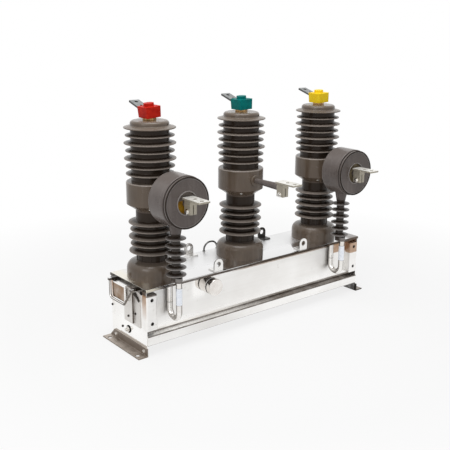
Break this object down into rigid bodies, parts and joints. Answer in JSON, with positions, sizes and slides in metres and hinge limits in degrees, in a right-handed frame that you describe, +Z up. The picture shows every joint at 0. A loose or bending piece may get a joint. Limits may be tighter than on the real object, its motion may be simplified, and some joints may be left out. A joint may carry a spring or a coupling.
{
  "type": "outdoor vacuum circuit breaker",
  "caption": "Column-type outdoor vacuum circuit breaker: polished housing on angle feet, shedded insulator poles with coloured caps, front outlets and current transformers on shedded posts.",
  "frame": {"origin": "centre of the four foundation holes, on the ground plane under the feet", "axes": "+X along the housing away from the operating end, -Y towards the outlets and transformers, +Z up"},
  "size_m": [0.959, 0.367, 0.7237],
  "materials": {
    "stainless": "mirror-polished stainless sheet",
    "foot_steel": "matt",
    "plug_metal": "satin",
    "brass": "turned",
    "casting": "satin cast resin",
    "silicone": "satin silicone rubber",
    "resin": "poured resin",
    "tinned": "tinned copper",
    "cover_red": "moulded",
    "cover_green": "moulded",
    "cover_yellow": "moulded"
  },
  "bodies": {
    "root": {"bottom_tray": "stainless", "bracket_front_left": "stainless", "bracket_front_right": "stainless", "bracket_rear_left": "stainless", "bracket_rear_right": "stainless", "drip_pipe_left": "stainless", "drip_pipe_right": "stainless", "earth_bolt": "brass", "end_bracket": "stainless", "end_handle": "stainless", "end_hood": "stainless", "foot_left": "foot_steel", "foot_right": "foot_steel", "front_terminal_green": "tinned", "front_terminal_red": "tinned", "front_terminal_yellow": "tinned", "housing_body": "stainless", "lead_post_left": "silicone", "lead_post_right": "silicone", "lid": "stainless", "lifting_eye_front_left": "stainless", "lifting_eye_front_right": "stainless", "lifting_eye_rear_left": "stainless", "lifting_eye_rear_right": "stainless", "outlet_rod_green": "silicone", "outlet_rod_red": "silicone", "outlet_rod_yellow": "silicone", "phase_cover_green": "cover_green", "phase_cover_red": "cover_red", "phase_cover_yellow": "cover_yellow", "plug_cap": "plug_metal", "pole_green": "casting", "pole_red": "casting", "pole_yellow": "casting", "rear_hoop": "stainless", "top_stub_green": "brass", "top_stub_red": "brass", "top_stub_yellow": "brass", "top_terminal_green": "tinned", "top_terminal_red": "tinned", "top_terminal_yellow": "tinned", "transformer_bush_left": "resin", "transformer_bush_right": "resin", "transformer_drum_left": "casting", "transformer_drum_right": "casting"}
  },
  "joints": []
}
